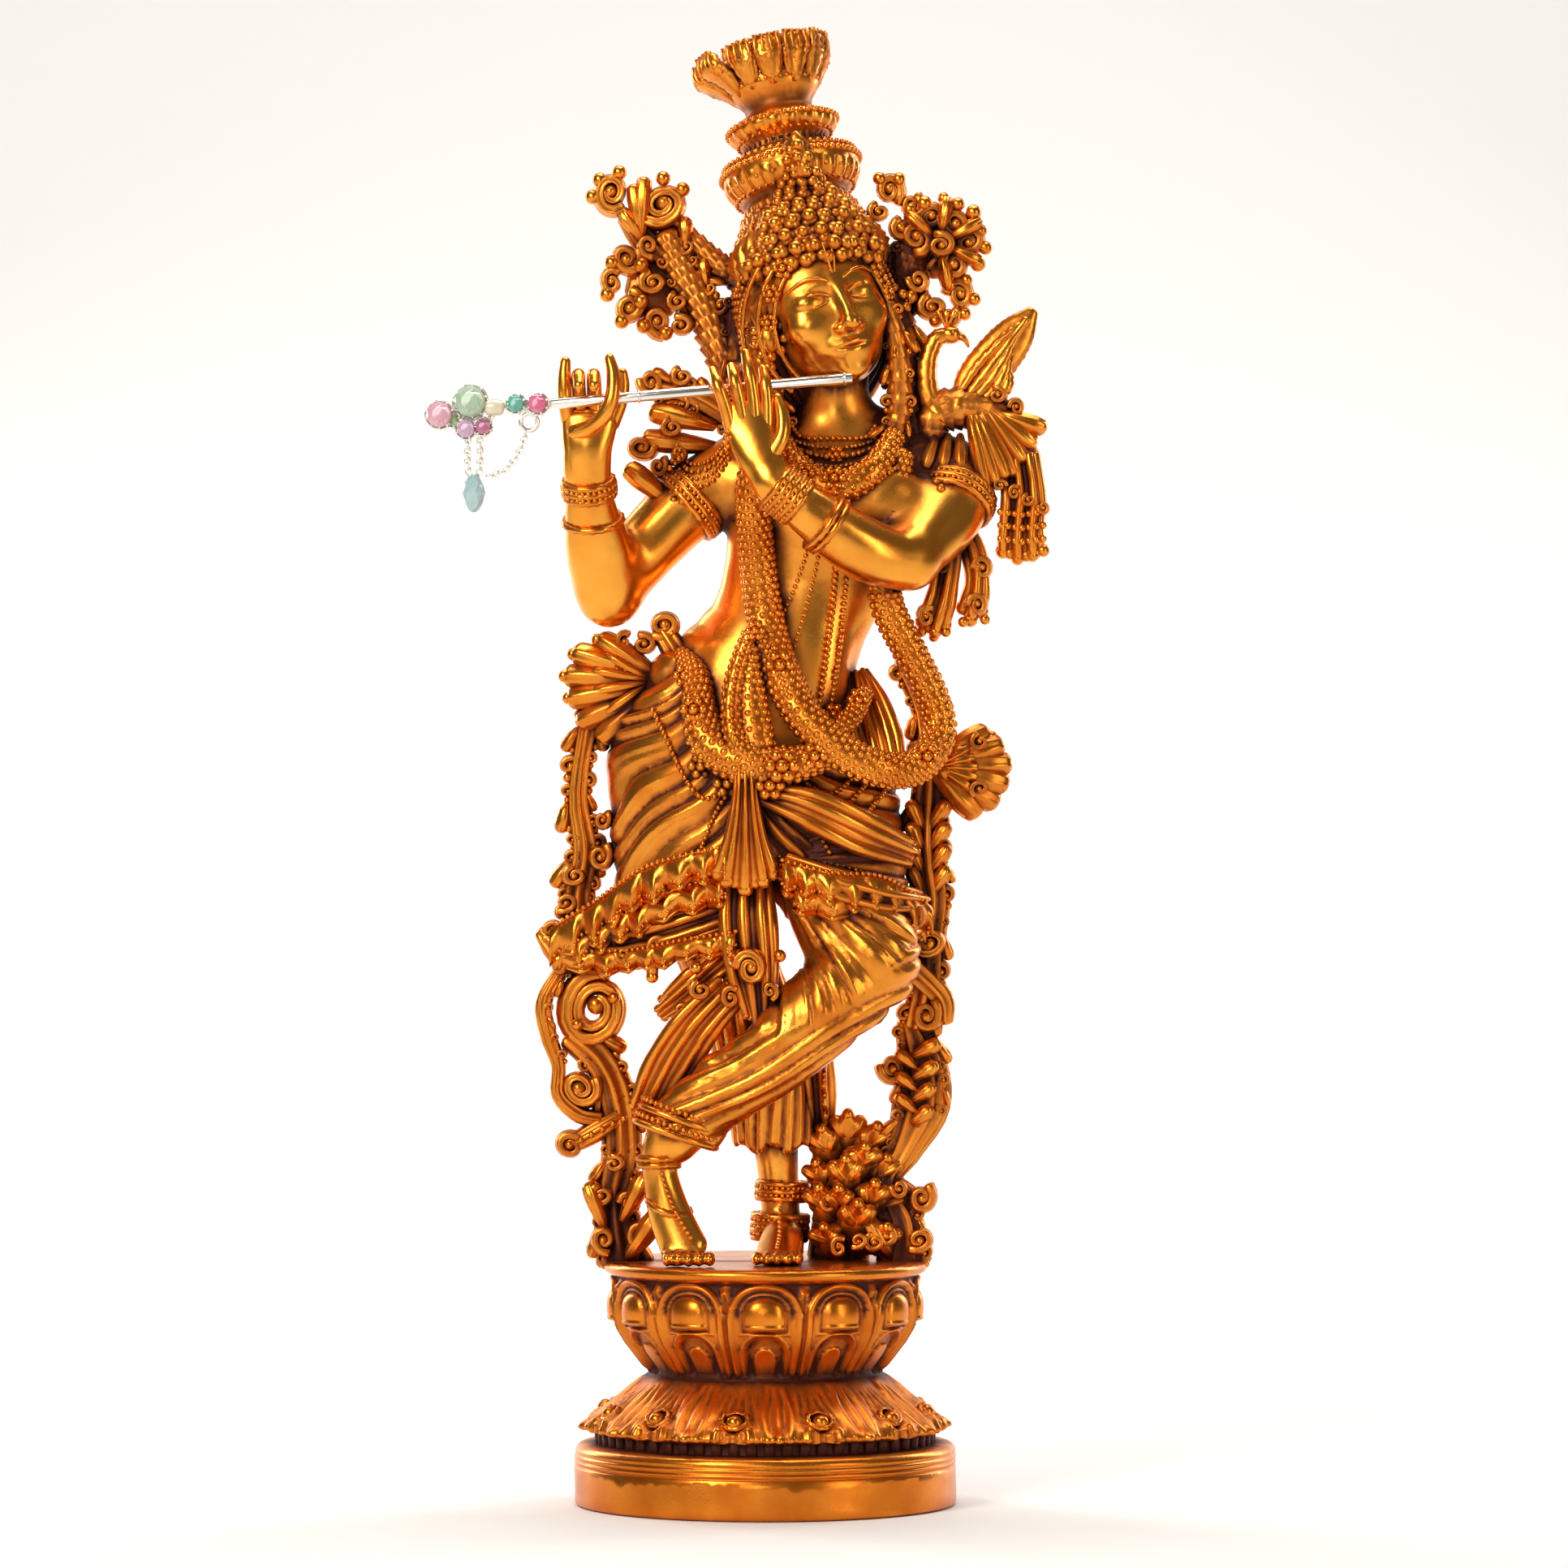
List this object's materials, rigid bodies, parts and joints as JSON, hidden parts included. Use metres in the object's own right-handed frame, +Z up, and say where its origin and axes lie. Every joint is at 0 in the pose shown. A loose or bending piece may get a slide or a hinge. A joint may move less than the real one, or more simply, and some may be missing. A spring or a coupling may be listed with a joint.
{
  "type": "krishna figure",
  "caption": "Cast brass figure of Krishna playing a flute, cross-legged on a round lotus plinth, with a tall crown and scarf falls at the sides.",
  "frame": {"origin": "the middle of the plinth's underside", "axes": "+Z up, the figure faces -Y, +X to the viewer's right; the flute points to -X"},
  "size_m": [0.2534, 0.156, 0.6099],
  "materials": {
    "cast_brass": "polished antique brass, darkened in the recesses",
    "silvered_metal": "bright silver-coloured plating",
    "green_glass": "polished cut glass",
    "pink_glass": "polished cut glass",
    "lilac_glass": "polished cut glass",
    "magenta_glass": "polished cut glass",
    "cream_bead": "glossy pearl bead",
    "teal_glass": "polished cut glass",
    "rose_glass": "polished cut glass",
    "aqua_glass": "polished cut glass"
  },
  "bodies": {
    "root": {"lotus_plinth": "cast_brass", "krishna_figure": "cast_brass", "flute": "silvered_metal", "chain_ring": "silvered_metal", "swag_chain": "silvered_metal", "drop_chain": "silvered_metal", "green_stone": "green_glass", "pink_end_stone": "pink_glass", "leaf_stone": "green_glass", "lilac_stone": "lilac_glass", "magenta_stone": "magenta_glass", "cream_stone": "cream_bead", "teal_stone": "teal_glass", "rose_stone": "rose_glass", "drop_bead": "aqua_glass"}
  },
  "joints": []
}
